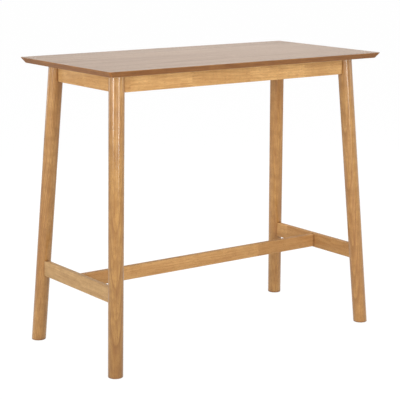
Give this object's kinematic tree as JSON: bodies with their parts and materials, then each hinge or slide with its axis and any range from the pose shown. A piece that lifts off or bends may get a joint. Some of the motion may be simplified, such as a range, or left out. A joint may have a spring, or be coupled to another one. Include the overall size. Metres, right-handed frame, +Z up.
{
  "type": "bar table",
  "caption": "Bar-height rectangular table with a thin undercut top, splayed round wooden legs, aprons and an H-shaped stretcher.",
  "frame": {"origin": "on the floor, under the middle of the top", "axes": "+X along the table's length to its right end, +Y along its width to the back, +Z up"},
  "size_m": [1.2, 0.6, 1.05],
  "materials": {
    "face_veneer": "satin lacquer over a pale greyish brown veneer, grain along the length",
    "backing_veneer": "sealed, matt",
    "board_core": "fibre board, hidden",
    "lipping_wood": "satin lacquer, stained warm brown",
    "frame_wood": "satin lacquer over honey coloured solid wood",
    "block_wood": "planed, unlacquered",
    "dowel_wood": "bare, hidden",
    "zinc_steel": "bright zinc plated"
  },
  "bodies": {
    "root": {"apron_back": "frame_wood", "apron_brackets": "zinc_steel", "apron_front": "frame_wood", "apron_left": "frame_wood", "apron_right": "frame_wood", "block_screws": "zinc_steel", "bolt_nuts": "zinc_steel", "bolt_washers": "zinc_steel", "bracket_screws": "zinc_steel", "centre_stretcher_dowels": "dowel_wood", "corner_block_back_left": "block_wood", "corner_block_back_right": "block_wood", "corner_block_front_left": "block_wood", "corner_block_front_right": "block_wood", "hanger_bolts": "zinc_steel", "leg_back_left": "frame_wood", "leg_back_right": "frame_wood", "leg_front_left": "frame_wood", "leg_front_right": "frame_wood", "lipping_back": "lipping_wood", "lipping_front": "lipping_wood", "lipping_left": "lipping_wood", "lipping_right": "lipping_wood", "side_apron_dowels": "dowel_wood", "side_stretcher_dowels": "dowel_wood", "stretcher_centre": "frame_wood", "stretcher_left": "frame_wood", "stretcher_right": "frame_wood", "top_backing_veneer": "backing_veneer", "top_core": "board_core", "top_face_veneer": "face_veneer", "top_screws": "zinc_steel"}
  },
  "joints": []
}
